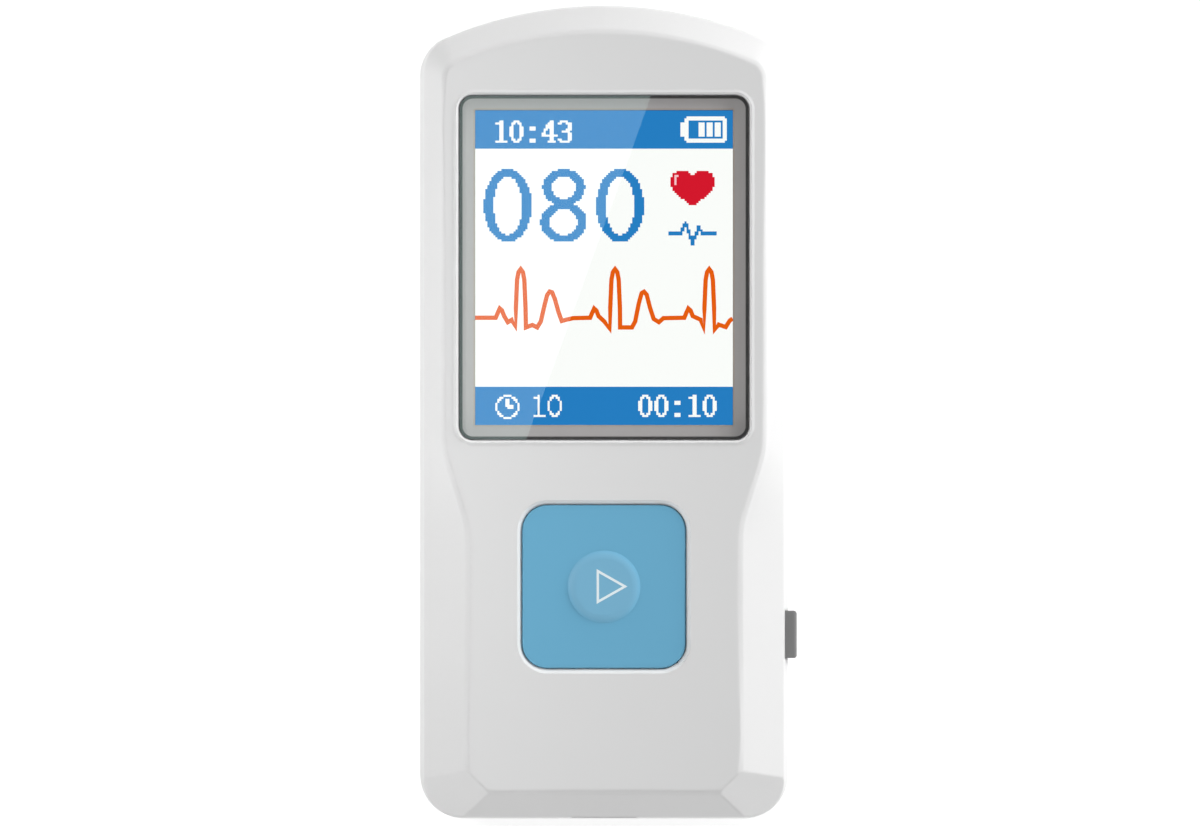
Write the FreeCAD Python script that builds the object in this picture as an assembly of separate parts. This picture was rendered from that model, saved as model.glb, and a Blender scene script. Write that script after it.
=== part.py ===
"""Palm ECG monitor: a waisted, faceted two-part housing with screen, keys, board, battery and electrodes.

The monitor lies on its back. +Z points out of the face, +Y towards the arched screen end and +X to
the side that carries the small key. The origin is the centre of the flat back. Units are millimetres.
"""
import FreeCAD
import Part
import math
import os
from FreeCAD import Vector

# ---- Housing: overall form ----
body_length = 100.3
body_width = 45.4
front_depth = 8.0               # front shell, from the joint line to the face
end_arch_radius = 50.0          # arch of the screen end, seen from the front
top_corner_radius = 5.0
bottom_corner_radius = 5.4
parting_drop = 0.4              # joint line between the two shells, below the board's upper side
side_band = 3.4                 # upright side of the front shell, up to the sloping facets
side_lean = 0.6                 # how far each side leans in from the joint line to the shoulder
end_lean = 0.35                 # and both ends
rear_bevel = 1.8                # bevel round the flat back
parting_bevel = 0.2             # fine bevel on both sides of the joint line

# ---- Housing: flat front face inside the facets ----
face_margin_side = 2.95
face_margin_top = 3.45
face_margin_bottom = 3.5
waist_depth = 3.0               # how far each side of the face steps in below the screen
waist_start_drop = 54.8         # from the top of the arch to where the face starts to narrow
waist_length = 9.4
waist_bend_length = 1.7         # tangent length of the two soft bends of the waist
face_top_corner = 2.3
face_bottom_corner = 2.7
face_edge_bevel = 0.35          # bevel along the edge of the face

# ---- Housing: walls and joints ----
side_wall = 1.5
face_wall = 2.0
rear_wall = 1.5
facet_wall_inset = 0.4          # how far the hollow's face stays inside the outer face
corner_wall = 1.2               # wall behind the two flat lower corners
tongue_height = 0.9             # rim tongue of the rear shell inside the front shell
tongue_thickness = 0.6
fit_gap = 0.1                   # clearance round pieces that are laid into pockets
slide_gap = 0.2                 # clearance round the flange of the start key
root = 0.75                     # how far ribs, posts and bosses grow into their wall
overrun = 1.0                   # how far a cut runs past the wall that it opens

# ---- Screen ----
picture_width = 31.6
picture_length = 38.6
window_border_side = 1.95       # grey border beside the picture
window_border_end = 1.8         # and at both of its ends
window_corner = 1.7
window_top_drop = 11.35         # from the top of the arch to the window's upper edge
window_thickness = 0.8
window_recess = 0.1             # window surface below the face
window_edge_bevel = 0.22        # bevel of the recess edge
window_lip_crest = 0.06         # flat top of the raised lip round the recess
window_lip_slope = 0.3          # width of its outer slope
window_lip_height = 0.12
window_rim_chamfer = 0.05       # chamfer of the window's own edge
mask_thickness = 0.1
mask_gap = 0.05                 # between the window and the printed film behind it
adhesive_thickness = 0.15
adhesive_inset = 0.2
ledge_reveal = 0.7              # how far the ledge stays outside the picture
gasket_thickness = 0.3
cell_thickness = 1.0
backlight_thickness = 1.2
cell_side_margin = 1.5
cell_top_margin = 2.0
cell_driver_ledge = 4.4
holder_wall = 1.2
holder_ledge = 1.8
holder_top_drop = 0.6           # holder rim below the top of the display glass
holder_corner = 1.0
flex_width = 12.0
flex_thickness = 0.2
flex_height = 0.7               # middle of its return run above the board
flex_straight = 0.4             # straight stretch between the display and the turn
flex_bend_share = 0.98          # bend radius as a share of half the turn's height
flex_return = 3.0               # from the display's edge back to the connector
flex_gap = 1.0                  # room beside the flex in the holder
connector_margin = 0.8
connector_length = 3.4
connector_height = 1.3

# ---- Start key ----
key_size = 20.0
key_corner = 3.1
key_drop = 0.25                 # top of the key below the face
key_gap = 0.07                  # clearance round the key in its opening
key_bottom_drop = 28.75         # from the bottom end to the key's centre
key_opening_bevel = 0.55
key_plate = 1.5
key_flange = 0.9                # how far the flange stands out round the key
key_flange_thickness = 1.0
key_flange_play = 0.1           # gap between the flange and the housing
key_skirt_wall = 1.3
key_rib = 0.9
key_stem_diameter = 5.0
key_disc_diameter = 8.9         # raised round centre
key_disc_roll = 1.0             # width of the roll round its edge
key_disc_height = 0.3
key_edge_bevel = 0.15
key_travel = 0.45
key_collar_wall = 1.1
key_collar_depth = 2.0

# ---- Side key ----
side_key_length = 5.8
side_key_height = 2.2
side_key_bottom_drop = 22.75    # from the bottom end to the key's centre
side_key_proud = 1.05
side_key_flange = 1.0           # how far the flange stands out at both ends of the cap
side_key_flange_rise = 0.6      # and above the cap
side_key_flange_thickness = 0.8
side_key_travel = 0.4
side_key_round = 0.35

# ---- Board ----
board_thickness = 1.0
battery_board_gap = 0.7         # from the battery to the board
board_edge_gap = 1.6            # board edge to the inside of the side wall
board_top_end_drop = 10.0       # from the top of the arch to the board's upper edge
board_bottom_gap = 0.6          # board's lower edge to the inside of the bottom wall
board_tab_half_width = 11.6     # lower tab of the board between the housing bosses
board_tab_length = 9.4

# ---- Parts on the board: place from the window's centre, then width, length and height ----
controller_chip = (8.0, -5.0, 7.0, 7.0, 1.0)
memory_chip = (8.0, 6.0, 5.0, 4.0, 0.9)
charger_chip = (-9.5, -12.0, 3.0, 3.0, 0.8)
crystal = (8.0, 0.8, 3.2, 1.5, 0.7)
inductor = (-3.5, -12.0, 3.0, 3.0, 1.4)
capacitor_size = (1.0, 0.5, 0.5)
capacitor_count = 6
capacitor_pitch = 3.2
capacitor_start = -11.0
capacitor_rise = 13.0

# ---- Shield can ----
can_width = 12.0
can_length = 14.0
can_height = 1.8
can_sheet = 0.2
can_offset = (-6.5, 2.0)        # from the window's centre

# ---- Switches ----
switch_size = 6.0
switch_height = 3.4
switch_floor = 1.0              # bottom of the well that the plunger runs in
switch_overtravel = 0.3
switch_plunger_diameter = 3.4
switch_plunger_reach = 0.8      # plunger above the switch body at rest
side_switch_length = 4.6
side_switch_depth = 3.0
side_switch_height = 1.9
side_switch_overtravel = 0.4    # slot left behind the side plunger when it is pressed
side_plunger_seat = 1.0         # length of the plunger inside the slot at rest
side_plunger_width = 1.8
side_plunger_height = 0.9
side_plunger_reach = 1.0
plunger_gap = 0.06              # running clearance of both plungers

# ---- Charging port ----
port_width = 7.5
port_height = 2.6
port_depth = 5.6
port_wall = 0.3
port_chamfer = 0.8
port_setback = 0.6              # mouth behind the bottom end of the housing
port_tongue_width = 3.8
port_tongue_thickness = 0.6
port_tongue_rise = 0.35         # tongue above the middle of the mouth
port_tongue_setback = 0.9
port_block_depth = 1.4
port_opening_gap = 0.25

# ---- Battery ----
battery_width = 33.0
battery_length = 36.0
battery_thickness = 3.9
battery_round = 1.2
battery_bottom_drop = 40.5      # from the bottom end to the battery's lower edge
battery_foam_thickness = 0.3
battery_foam_inset = 2.0
battery_rib_gap = 0.3
battery_rib_thickness = 0.9
battery_rib_height = 2.6
lead_length = 3.6
lead_gap_reach = 3.0            # length of the opening in the ribs for the leads
lead_diameter = 0.9
lead_spacing = 1.3
plug_width = 4.6
plug_depth = 3.6
plug_height = 3.6

# ---- Electrodes ----
electrode_thickness = 0.7
electrode_corner = 2.6
upper_electrode_width = 26.0
upper_electrode_length = 9.0
upper_electrode_drop = 16.5     # from the top of the arch to its centre
lower_electrode_width = 13.6
lower_electrode_length = 15.0
lower_electrode_spread = 11.4   # centre of each lower plate from the middle line
lower_electrode_drop = 20.5     # from the bottom end to their centres
seal_thickness = 0.2
seal_inset = 0.9
tab_width = 3.4
tab_thickness = 1.2
tab_length = 2.1                # from the plate to the tab's end
pad_margin = 1.0                # wall pad round each recess, inside the rear shell
pad_height = 2.0
clip_size = 5.0
clip_thickness = 0.35
spring_thickness = 0.2
spring_width = 1.8
spring_pad = (-2.0, 2.4)        # ends of the strip on the board, from the tab's centre
spring_foot = (1.0, -0.9)       # ends of the strip on the tab
spring_bend_radius = 0.5

# ---- Hooks that hold the screen end of the shells together ----
hook_spread = 10.0
hook_width = 5.0
hook_thickness = 1.2
hook_barb = 0.7
hook_barb_height = 1.0
hook_wall_gap = 1.0             # from the tip of the arch wall's inside to the barb's tip
catch_margin = 1.0              # catch wider than the hook on both sides
catch_height = 0.9
catch_gap = 0.15

# ---- Screws ----
screw_shank_diameter = 2.0
screw_thread_gap = 0.02
screw_head_diameter = 3.6
screw_head_height = 1.2
screw_recess_depth = 1.9
cross_width = 0.5
cross_length = 2.0
cross_depth = 0.6
boss_diameter = 5.0
rear_boss_diameter = 6.0
post_size = 5.0                 # post behind the board under the start key
post_web = 1.0
housing_boss_spread = 15.4
housing_boss_drop = 6.6         # from the bottom end
housing_screw_reach = 3.4       # thread in the front shell
board_screw_length = 4.2
board_screw_spread = 16.0
board_screw_drop = 14.2         # from the bottom end
board_screw_head = 3.2
board_screw_head_height = 1.0

# ---- Places that follow from the sizes above ----
board_bottom = rear_wall + battery_foam_thickness + battery_thickness + battery_board_gap
board_top = board_bottom + board_thickness
parting_height = board_top - parting_drop
shoulder_height = parting_height + side_band
body_depth = parting_height + front_depth
window_width = picture_width + 2 * window_border_side
window_length = picture_length + 2 * window_border_end
top_y = body_length / 2
bottom_y = -body_length / 2
half_width = body_width / 2
waist_start_y = top_y - waist_start_drop
waist_end_y = waist_start_y - waist_length
window_y = top_y - window_top_drop - window_length / 2
key_y = bottom_y + key_bottom_drop
side_key_y = bottom_y + side_key_bottom_drop
inner_face = body_depth - face_wall
window_top = body_depth - window_recess
window_bottom = window_top - window_thickness
mask_top = window_bottom - mask_gap
mask_bottom = mask_top - mask_thickness
ledge_top = mask_bottom - adhesive_thickness
cell_top = inner_face - gasket_thickness
cell_bottom = cell_top - cell_thickness
backlight_bottom = cell_bottom - backlight_thickness
cell_width = picture_width + 2 * cell_side_margin
cell_top_y = window_y + picture_length / 2 + cell_top_margin
cell_bottom_y = window_y - picture_length / 2 - cell_driver_ledge
board_half_width = half_width - side_wall - board_edge_gap
board_top_y = top_y - board_top_end_drop
board_bottom_y = bottom_y + side_wall + board_bottom_gap
housing_bosses = [(side * housing_boss_spread, bottom_y + housing_boss_drop) for side in (1, -1)]
board_bosses = [(side * board_screw_spread, bottom_y + board_screw_drop) for side in (1, -1)]
upper_electrode_y = top_y - upper_electrode_drop
lower_electrode_y = bottom_y + lower_electrode_drop
lower_electrode_size = (lower_electrode_width, lower_electrode_length)
electrode_places = {
    "electrode_upper": (0, upper_electrode_y, upper_electrode_width, upper_electrode_length),
    "electrode_lower_left": (-lower_electrode_spread, lower_electrode_y, *lower_electrode_size),
    "electrode_lower_right": (lower_electrode_spread, lower_electrode_y, *lower_electrode_size),
}
seal_top = electrode_thickness + seal_thickness
tab_top = electrode_thickness + tab_length
switch_top = board_top + switch_height
key_top = body_depth - key_drop
key_underside = key_top - key_plate
flange_top = inner_face - key_flange_play
plunger_top = switch_top + switch_plunger_reach
port_mouth_y = bottom_y + port_setback
side_key_z = parting_height + fit_gap + side_key_height / 2


# ---- Shape helpers ----
def box(x0, x1, y0, y1, z0, z1):
    """Box between two corners."""
    return Part.makeBox(x1 - x0, y1 - y0, z1 - z0, Vector(x0, y0, z0))


def cylinder(x, y, z0, z1, diameter):
    """Upright cylinder between two heights."""
    return Part.makeCylinder(diameter / 2, z1 - z0, Vector(x, y, z0))


def line(start, end):
    return Part.LineSegment(start, end).toShape()


def arc(start, middle, end):
    return Part.Arc(start, middle, end).toShape()


def bend(before, corner, after, length):
    """Start, middle and end of the arc that rounds a corner, tangent at the given length from it."""
    back = (before - corner).normalize()
    ahead = (after - corner).normalize()
    half_turn = (math.pi - back.getAngle(ahead)) / 2
    radius = length / math.tan(half_turn)
    to_centre = (back + ahead).normalize()
    middle = corner + to_centre * (radius / math.cos(half_turn) - radius)
    return corner + back * length, middle, corner + ahead * length


def rounded_path(points, radii):
    """Open wire through the points, each inner corner rounded to its radius."""
    edges = []
    start = points[0]
    for index, radius in enumerate(radii):
        before, corner, after = points[index], points[index + 1], points[index + 2]
        turn = math.pi - (before - corner).getAngle(after - corner)
        first, middle, last = bend(before, corner, after, radius * math.tan(turn / 2))
        edges.append(line(start, first))
        edges.append(arc(first, middle, last))
        start = last
    edges.append(line(start, points[-1]))
    return Part.Wire(edges)


def strip(points, radius, width, thickness):
    """Flat strip along points in a plane of constant X, its two inner corners rounded."""
    corners = [(-1, -1), (1, -1), (1, 1), (-1, 1), (-1, -1)]
    section = Part.makePolygon([points[0] + Vector(a * width / 2, 0, b * thickness / 2) for a, b in corners])
    return rounded_path(points, [radius, radius]).makePipeShell([section], True, False)


def rounded_rectangle(x, y, width, length, radius, z):
    """Closed wire of a rectangle with rounded corners, centred on x and y."""
    edges = []
    a, b = width / 2, length / 2
    signs = [(1, 1), (-1, 1), (-1, -1), (1, -1)]
    diagonal = radius * (1 - math.sqrt(0.5))
    ends = []
    for sx, sy in signs:
        on_side = Vector(x + sx * a, y + sy * (b - radius), z)
        on_end = Vector(x + sx * (a - radius), y + sy * b, z)
        middle = Vector(x + sx * (a - diagonal), y + sy * (b - diagonal), z)
        ends.append((on_side, middle, on_end) if sx * sy > 0 else (on_end, middle, on_side))
    for index, (first, middle, last) in enumerate(ends):
        edges.append(arc(first, middle, last))
        edges.append(line(last, ends[(index + 1) % 4][0]))
    return Part.Wire(edges)


def prism(wire, height):
    """Upright solid on a flat wire."""
    return Part.Face(wire).extrude(Vector(0, 0, height))


def plate(x, y, width, length, radius, z0, z1):
    """Upright plate with rounded corners."""
    return prism(rounded_rectangle(x, y, width, length, radius, z0), z1 - z0)


def stack(wires):
    """Solid with straight facets between matching wires at rising heights."""
    return Part.makeLoft(wires, True, True)


def fuse(first, *others):
    return first.fuse(list(others)).removeSplitter()


def mirrored(point):
    return Vector(-point.x, point.y, point.z)


# ---- Outline of the housing ----
def outline(z, inset_side, inset_top, inset_bottom, waist, top_corner, bottom_corner):
    """Closed outline of the housing or its face at one height.

    The upper end is an arch parallel to the housing's. Each side steps in by the waist
    between waist_start_y and waist_end_y; all outlines have their side points at the same
    heights along the housing, so that facets between two of them stay straight.
    """
    side = half_width - inset_side
    low_side = side - waist
    radius = end_arch_radius - inset_top
    centre_y = top_y - end_arch_radius
    end_y = bottom_y + inset_bottom
    corner_y = centre_y + math.sqrt((radius - top_corner) ** 2 - (side - top_corner) ** 2)
    lean = math.atan2(corner_y - centre_y, side - top_corner)
    corner_centre = Vector(side - top_corner, corner_y, z)
    half_lean = lean / 2
    cap_start = Vector(side, corner_y, z)
    cap_middle = corner_centre + Vector(math.cos(half_lean), math.sin(half_lean), 0) * top_corner
    cap_end = corner_centre + Vector(math.cos(lean), math.sin(lean), 0) * top_corner
    apex = Vector(0, centre_y + radius, z)
    arch_lean = (lean + math.pi / 2) / 2
    arch_middle = Vector(math.cos(arch_lean), math.sin(arch_lean), 0) * radius + Vector(0, centre_y, z)
    diagonal = bottom_corner * (1 - math.sqrt(0.5))
    foot_start = Vector(low_side - bottom_corner, end_y, z)
    foot_middle = Vector(low_side - diagonal, end_y + diagonal, z)
    foot_end = Vector(low_side, end_y + bottom_corner, z)
    low_bend = Vector(low_side, waist_end_y, z)
    high_bend = Vector(side, waist_start_y, z)
    slope = (high_bend - low_bend).normalize() * waist_bend_length
    upright = Vector(0, waist_bend_length, 0)
    low_points = (low_bend - upright, None, low_bend + slope)
    high_points = (high_bend - slope, None, high_bend + upright)
    if waist:
        low_points = bend(foot_end, low_bend, high_bend, waist_bend_length)
        high_points = bend(low_bend, high_bend, cap_start, waist_bend_length)
    half = [
        (Vector(0, end_y, z), None, foot_start),
        (foot_start, foot_middle, foot_end),
        (foot_end, None, low_points[0]),
        low_points,
        (low_points[2], None, high_points[0]),
        high_points,
        (high_points[2], None, cap_start),
        (cap_start, cap_middle, cap_end),
        (cap_end, arch_middle, apex),
    ]
    other = [
        (mirrored(last), middle and mirrored(middle), mirrored(first))
        for first, middle, last in reversed(half)
    ]
    edges = [arc(*step) if step[1] else line(step[0], step[2]) for step in half + other]
    return Part.Wire(edges)


def side_outline(z, inset):
    """Outline of the housing's side at the joint line, or a parallel one inside it."""
    return outline(z, inset, inset, inset, 0, top_corner_radius - inset, bottom_corner_radius - inset)


def shoulder_outline(z):
    """Outline of the shoulder, where the leaning sides meet the facets."""
    return outline(z, side_lean, end_lean, end_lean, 0, top_corner_radius - side_lean,
                   bottom_corner_radius - side_lean)


def face_outline(z, inset):
    """Outline of the flat front face, or a parallel one inside it."""
    return outline(
        z, face_margin_side + inset, face_margin_top + inset, face_margin_bottom + inset,
        waist_depth, face_top_corner, face_bottom_corner)


def edges_at(solid, z):
    """Edges of a solid that lie wholly at one height."""
    return [e for e in solid.Edges if all(abs(v.Z - z) < 1e-6 for v in e.Vertexes)]


# ---- Shells ----
def front_outside():
    """Outer form of the front shell: leaning rim and facets up to the waisted face."""
    form = stack([
        side_outline(parting_height, parting_bevel),
        side_outline(parting_height + parting_bevel, 0),
        shoulder_outline(shoulder_height),
        face_outline(body_depth, 0),
    ])
    form = form.makeChamfer(face_edge_bevel, edges_at(form, body_depth))
    for side in (1, -1):
        form = form.cut(corner_cutter(side, 0))
    return form


def corner_cutter(side, depth):
    """Block outside the plane that flattens one lower corner, moved inwards by the given depth.

    The plane holds the two straight ends of the face's round corner and those of the shoulder's.
    """
    face_x = half_width - face_margin_side - waist_depth
    face_y = bottom_y + face_margin_bottom
    shoulder_x = half_width - side_lean
    shoulder_y = bottom_y + end_lean
    shoulder_radius = bottom_corner_radius - side_lean
    upper = Vector(side * face_x, face_y + face_bottom_corner, body_depth)
    upper_end = Vector(side * (face_x - face_bottom_corner), face_y, body_depth)
    lower = Vector(side * shoulder_x, shoulder_y + shoulder_radius, shoulder_height)
    along = (upper_end - upper).normalize()
    down = lower - upper
    outward = along.cross(down) * side
    outward.normalize()
    block = Part.makeBox(body_width, body_width, body_width, Vector(-body_width / 2, -body_width / 2, 0))
    block.Placement = FreeCAD.Placement(
        upper - outward * depth, FreeCAD.Rotation(Vector(0, 0, 1), outward)).multiply(block.Placement)
    return block


def front_hollow():
    """Space inside the front shell, with walls that follow the facets and the flat lower corners."""
    hollow = stack([
        side_outline(parting_height, side_wall),
        side_outline(shoulder_height - facet_wall_inset, side_wall),
        face_outline(inner_face, facet_wall_inset),
    ])
    for side in (1, -1):
        hollow = hollow.cut(corner_cutter(side, corner_wall))
    return hollow


def front_boss(x, y, bottom, reach):
    """Screw boss standing down from the face, with its pilot hole."""
    boss = cylinder(x, y, bottom, inner_face + root, boss_diameter)
    return boss, cylinder(x, y, bottom, bottom + reach, screw_shank_diameter + 2 * screw_thread_gap)


def rear_outside():
    """Outer form of the rear shell: flat back, bevel and upright rim."""
    return stack([
        side_outline(0, rear_bevel),
        side_outline(rear_bevel, 0),
        side_outline(parting_height - parting_bevel, 0),
        side_outline(parting_height, parting_bevel),
    ])


def tongue_inset():
    """Inset of the tongue's outer side, so that the tongue ends flush with the inner wall."""
    return side_wall - tongue_thickness


def port_cutter(gap, z0):
    """Opening for the charging port through the bottom wall."""
    width = port_width + 2 * gap
    back_y = bottom_y + side_wall + overrun
    return box(-width / 2, width / 2, bottom_y - overrun, back_y, z0, board_top + port_height + gap)


def side_key_cutter(gap, z0):
    """Opening for the side key through the right wall."""
    half = side_key_length / 2 + gap
    z1 = side_key_z + side_key_height / 2 + gap
    x0 = half_width - side_wall - overrun
    return box(x0, half_width + overrun, side_key_y - half, side_key_y + half, z0, z1)


def inner_wall_y(x):
    """Y of the arched end wall's inside at one x."""
    return top_y - end_arch_radius + math.sqrt((end_arch_radius - side_wall) ** 2 - x ** 2)


def hook_places():
    """X of each hook and Y of its barb's tip."""
    tip_y = inner_wall_y(hook_spread + hook_width / 2) - hook_wall_gap
    return [(side * hook_spread, tip_y) for side in (1, -1)]


def hook_catch(x, tip_y):
    """Rib inside the arched end that the barb of a hook sits over."""
    half = hook_width / 2 + catch_margin
    top = parting_height + tongue_height + 2 * catch_gap + catch_height
    rib = box(x - half, x + half, tip_y - hook_barb + catch_gap, top_y, top - catch_height, top)
    return rib.common(prism(side_outline(parting_height, side_wall - root), body_depth))


def rear_hook(x, tip_y):
    """Upright tab of the rear shell with a barb over the catch."""
    half = hook_width / 2
    barb_bottom = parting_height + tongue_height + 3 * catch_gap + catch_height
    back = tip_y - hook_barb
    barb_top = barb_bottom + hook_barb_height
    tab = box(x - half, x + half, back - hook_thickness, back, rear_wall - root, barb_top)
    barb = box(x - half, x + half, back - hook_thickness, tip_y, barb_bottom, barb_top)
    return tab.fuse(barb)


def make_front_shell():
    shell = front_outside().cut(front_hollow())
    shell = shell.fuse(key_collar())
    for place in hook_places():
        shell = shell.fuse(hook_catch(*place))
    for x, y in housing_bosses:
        boss, pilot = front_boss(x, y, board_top, housing_screw_reach)
        shell = shell.fuse(boss.common(front_outside())).cut(pilot)
    for x, y in board_bosses:
        boss, pilot = front_boss(x, y, board_top, board_screw_length - board_thickness + fit_gap)
        shell = shell.fuse(boss.common(front_outside())).cut(pilot)
    shell = shell.fuse(window_lip())
    shell = shell.cut(window_pocket())
    shell = shell.cut(key_opening())
    groove = prism(side_outline(parting_height, tongue_inset() - fit_gap), tongue_height + fit_gap)
    groove = groove.cut(prism(side_outline(parting_height, side_wall), tongue_height + fit_gap))
    shell = shell.cut(groove)
    shell = shell.cut(port_cutter(port_opening_gap, parting_height))
    return shell.cut(side_key_cutter(fit_gap, parting_height)).removeSplitter()


def key_collar():
    """Square collar inside the face that guides the flange of the start key."""
    inner = key_size / 2 + key_flange + slide_gap
    outer = inner + key_collar_wall
    low, high = inner_face - key_collar_depth, inner_face + root
    collar = box(-outer, outer, key_y - outer, key_y + outer, low, high)
    return collar.cut(box(-inner, inner, key_y - inner, key_y + inner, low, high))


def window_outline(margin, z):
    """Rounded outline parallel to the window's, the given margin outside it."""
    return rounded_rectangle(
        0, window_y, window_width + 2 * margin, window_length + 2 * margin, window_corner + margin, z)


def window_lip():
    """Low raised lip round the recess of the window."""
    crest = fit_gap + window_edge_bevel + window_lip_crest
    return stack([
        window_outline(crest + window_lip_slope, body_depth),
        window_outline(crest, body_depth + window_lip_height),
    ])


def window_pocket():
    """Recess for the window, the bevel of its edge and the hole behind it."""
    top = body_depth + window_lip_height
    pocket = prism(window_outline(fit_gap, ledge_top), top - ledge_top)
    bevel = stack([
        window_outline(fit_gap, top - window_edge_bevel),
        window_outline(fit_gap + window_edge_bevel, top),
    ])
    return fuse(pocket, bevel, picture_block(ledge_reveal, inner_face - overrun, ledge_top))


def picture_block(reveal, z0, z1):
    """Block over the picture, the given reveal larger on each side."""
    half_wide = picture_width / 2 + reveal
    half_long = picture_length / 2 + reveal
    return box(-half_wide, half_wide, window_y - half_long, window_y + half_long, z0, z1)


def key_opening():
    """Opening for the start key with the bevel of its edge."""
    size = key_size + 2 * key_gap
    corner = key_corner + key_gap
    wide = 2 * key_opening_bevel
    hole = plate(0, key_y, size, size, corner, inner_face - overrun, body_depth)
    bevel = stack([
        rounded_rectangle(0, key_y, size, size, corner, body_depth - key_opening_bevel),
        rounded_rectangle(0, key_y, size + wide, size + wide, corner + key_opening_bevel, body_depth),
    ])
    return fuse(hole, bevel)


def make_rear_shell():
    shell = rear_outside().cut(prism(side_outline(rear_wall, side_wall), body_depth))
    tongue = prism(side_outline(parting_height - root, tongue_inset()), tongue_height + root)
    tongue = tongue.cut(prism(side_outline(parting_height - root, side_wall), tongue_height + root))
    tongue = tongue.cut(port_cutter(port_opening_gap, parting_height))
    tongue = tongue.cut(side_key_cutter(2 * fit_gap, parting_height))
    shell = shell.fuse(tongue)
    for x, y, width, length in electrode_places.values():
        half_wide, half_long = width / 2 + pad_margin, length / 2 + pad_margin
        shell = shell.fuse(
            box(x - half_wide, x + half_wide, y - half_long, y + half_long, rear_wall - root, pad_height))
    shell = shell.fuse(battery_bay())
    shell = shell.fuse(board_post())
    for place in hook_places():
        shell = shell.fuse(rear_hook(*place))
    for x, y in housing_bosses:
        shell = shell.fuse(cylinder(x, y, rear_wall - root, board_top, rear_boss_diameter))
        shell = shell.cut(cylinder(x, y, 0, screw_recess_depth, screw_head_diameter + 4 * fit_gap))
        shell = shell.cut(cylinder(x, y, 0, board_top, screw_shank_diameter + 2 * fit_gap))
    for x, y, width, length in electrode_places.values():
        recess = plate(
            x, y, width + 2 * fit_gap, length + 2 * fit_gap, electrode_corner + fit_gap, 0, seal_top)
        shell = shell.cut(recess)
        shell = shell.cut(tab_block(x, y, fit_gap / 2, 0, pad_height))
    return shell.removeSplitter()


def board_post():
    """Cross-shaped post that backs the board under the start key."""
    reach, half = post_size / 2, post_web / 2
    low = rear_wall - root
    return fuse(
        box(-reach, reach, key_y - half, key_y + half, low, board_bottom),
        box(-half, half, key_y - reach, key_y + reach, low, board_bottom))


def battery_centre_y():
    return bottom_y + battery_bottom_drop + battery_length / 2


def battery_bay():
    """Low ribs round the battery, open at the middle of its lower side for the leads."""
    top = rear_wall + battery_rib_height
    bay = battery_block(battery_rib_gap + battery_rib_thickness, rear_wall - root, top)
    bay = bay.cut(battery_block(battery_rib_gap, rear_wall - root, top))
    low = battery_centre_y() - battery_length / 2
    return bay.cut(box(-plug_width, plug_width, low - lead_gap_reach, low, rear_wall, body_depth))


def battery_block(margin, z0, z1):
    """Block over the battery, the given margin larger on each side."""
    half_wide, half_long = battery_width / 2 + margin, battery_length / 2 + margin
    y = battery_centre_y()
    return box(-half_wide, half_wide, y - half_long, y + half_long, z0, z1)


# ---- Screen stack ----
def make_screen_window():
    window = plate(0, window_y, window_width, window_length, window_corner, window_bottom, window_top)
    return window.makeChamfer(window_rim_chamfer, edges_at(window, window_top))


def border_frame(z0, z1, reveal, rim_inset):
    """Frame as wide as the window with a hole the given reveal outside the picture."""
    outer = plate(0, window_y, window_width - 2 * rim_inset, window_length - 2 * rim_inset,
                  window_corner - rim_inset, z0, z1)
    return outer.cut(picture_block(reveal, z0, z1))


def display_block(margin, z0, z1):
    """Block over the display module, the given margin larger on each side."""
    half = cell_width / 2 + margin
    return box(-half, half, cell_bottom_y - margin, cell_top_y + margin, z0, z1)


def make_lcd_holder():
    """Frame on the board: a pocket for the display, a ledge below it and a gap for the flex."""
    frame = display_block(fit_gap + holder_wall, board_top, cell_top - holder_top_drop)
    upright = [e for e in frame.Edges if e.Vertexes[0].Z != e.Vertexes[-1].Z]
    frame = frame.makeFillet(holder_corner, upright)
    pocket = display_block(fit_gap, backlight_bottom, body_depth)
    inside = display_block(-holder_ledge, board_top, backlight_bottom)
    half_gap = flex_width / 2 + flex_gap
    reach = holder_wall + holder_ledge
    notch = box(-half_gap, half_gap, cell_bottom_y - reach, cell_bottom_y + reach, board_top, body_depth)
    return frame.cut(pocket).cut(inside).cut(notch).removeSplitter()


def make_lcd_flex():
    """Flexible circuit from the display's lower edge, round and back under it to the connector."""
    high = cell_bottom + flex_thickness / 2
    low = board_top + flex_height
    turn = (high - low) / 2
    turn_y = cell_bottom_y - flex_straight - turn
    points = [
        Vector(0, cell_bottom_y, high),
        Vector(0, turn_y, high),
        Vector(0, turn_y, low),
        Vector(0, cell_bottom_y + flex_return, low),
    ]
    return strip(points, turn * flex_bend_share, flex_width, flex_thickness)


def make_flex_connector():
    """Low board connector whose mouth meets the end of the flex."""
    mouth_y = cell_bottom_y + flex_return
    half = flex_width / 2 + connector_margin
    return box(-half, half, mouth_y, mouth_y + connector_length, board_top, board_top + connector_height)


# ---- Board and what is on it ----
def make_main_board():
    """Board with a narrow tab between the housing bosses and a hole for each board screw."""
    board = box(-board_half_width, board_half_width, board_bottom_y, board_top_y, board_bottom, board_top)
    for side in (1, -1):
        x0, x1 = sorted((side * board_tab_half_width, side * half_width))
        tab_y = board_bottom_y + board_tab_length
        board = board.cut(box(x0, x1, board_bottom_y, tab_y, board_bottom, board_top))
    for x, y in board_bosses:
        board = board.cut(cylinder(x, y, board_bottom, board_top, screw_shank_diameter + 2 * fit_gap))
    return board


def chip(x, rise, width, length, height):
    """Flat package on the board, placed from the window's centre."""
    y = window_y + rise
    return box(x - width / 2, x + width / 2, y - length / 2, y + length / 2, board_top, board_top + height)


def make_processor_chips():
    return [chip(*place) for place in (controller_chip, memory_chip, charger_chip)]


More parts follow.
